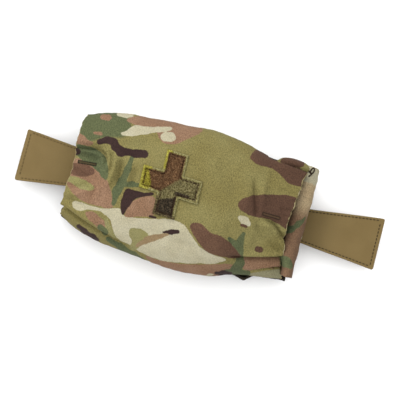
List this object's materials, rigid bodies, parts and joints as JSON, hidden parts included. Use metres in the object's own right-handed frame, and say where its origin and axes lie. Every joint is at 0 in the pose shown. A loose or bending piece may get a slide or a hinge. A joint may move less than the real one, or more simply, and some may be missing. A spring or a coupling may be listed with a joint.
{
  "type": "trauma kit sleeve with tourniquet insert",
  "caption": "Soft camouflage belt sleeve for a trauma kit, open at both ends, with flared pull tabs on a slide-out insert that carries a tourniquet.",
  "frame": {"origin": "midway between the tips of the two pull tabs, on the plane the belt straps rest on", "axes": "+X runs along the sleeve from the left mouth to the right mouth, +Y is up when worn on a belt, +Z points out of the front panel"},
  "size_m": [0.2656, 0.102, 0.0583],
  "materials": {
    "camouflage_fabric": "matte",
    "backing_laminate": "matte",
    "dark_binding": "matte",
    "elastic": "matte",
    "loop_pile": "matte",
    "thread": "matte",
    "cord": "matte",
    "webbing": "matte",
    "snap_metal": "satin",
    "insert_fabric": "matte",
    "stiffener_plastic": "matte",
    "tab_laminate": "matte",
    "foil": "gloss",
    "glove_rubber": "matte",
    "clear_film": "gloss",
    "bandage": "matte",
    "black_webbing": "matte",
    "grey_webbing": "matte",
    "black_plastic": "matte"
  },
  "bodies": {
    "sleeve": {"front_panel": "camouflage_fabric", "back_panel": "backing_laminate", "upper_seam_binding": "dark_binding", "lower_seam_binding": "dark_binding", "left_mouth_elastic": "elastic", "right_mouth_elastic": "elastic", "cross_patch": "loop_pile", "mouth_bar_tacks": "thread", "corner_cord_loop": "cord", "left_strap_anchor": "webbing", "right_strap_anchor": "webbing", "anchor_bar_tacks": "thread", "snap_studs": "snap_metal", "snap_washers": "snap_metal"},
    "left_strap": {"left_belt_strap": "webbing", "left_snap_cap": "snap_metal", "left_snap_socket": "snap_metal"},
    "right_strap": {"right_belt_strap": "webbing", "right_snap_cap": "snap_metal", "right_snap_socket": "snap_metal"},
    "insert": {"tray": "insert_fabric", "tray_stiffener": "stiffener_plastic", "end_roll": "insert_fabric", "left_tab_root": "tab_laminate", "right_tab_root": "tab_laminate", "chest_seal_pack": "foil", "glove_pack": "glove_rubber", "flat_pocket": "clear_film", "left_elastic_loop": "elastic", "middle_elastic_loop": "elastic", "right_elastic_loop": "elastic", "bandage_roll": "bandage", "gauze_pack": "foil"},
    "left_tab": {"left_pull_tab": "tab_laminate"},
    "right_tab": {"right_pull_tab": "tab_laminate"},
    "tourniquet": {"tourniquet_band": "black_webbing", "tourniquet_plate": "black_plastic", "windlass_rod": "black_plastic", "windlass_ribbon": "black_webbing", "windlass_clip": "black_plastic", "windlass_keeper": "grey_webbing", "tourniquet_buckle": "black_plastic"}
  },
  "joints": [
    {"name": "insert_slide", "type": "slide", "parent": "sleeve", "child": "insert", "axis": [1, 0, 0], "range_m": [-0.235, 0.235]},
    {"name": "left_tab_flex", "type": "hinge", "parent": "insert", "child": "left_tab", "pos_m": [-0.0779, 0, 0.01275], "axis": [0, 1, 0], "range_deg": [-5, 45]},
    {"name": "right_tab_flex", "type": "hinge", "parent": "insert", "child": "right_tab", "pos_m": [0.0779, 0, 0.01275], "axis": [0, -1, 0], "range_deg": [-5, 45]},
    {"name": "tourniquet_slide", "type": "slide", "parent": "insert", "child": "tourniquet", "axis": [-1, 0, 0], "range_m": [0, 0.25]},
    {"name": "left_strap_open", "type": "hinge", "parent": "sleeve", "child": "left_strap", "pos_m": [-0.051, 0.02735, 0.00515], "axis": [1, 0, 0], "range_deg": [0, 100]},
    {"name": "right_strap_open", "type": "hinge", "parent": "sleeve", "child": "right_strap", "pos_m": [0.025, 0.02735, 0.00515], "axis": [1, 0, 0], "range_deg": [0, 100]}
  ]
}
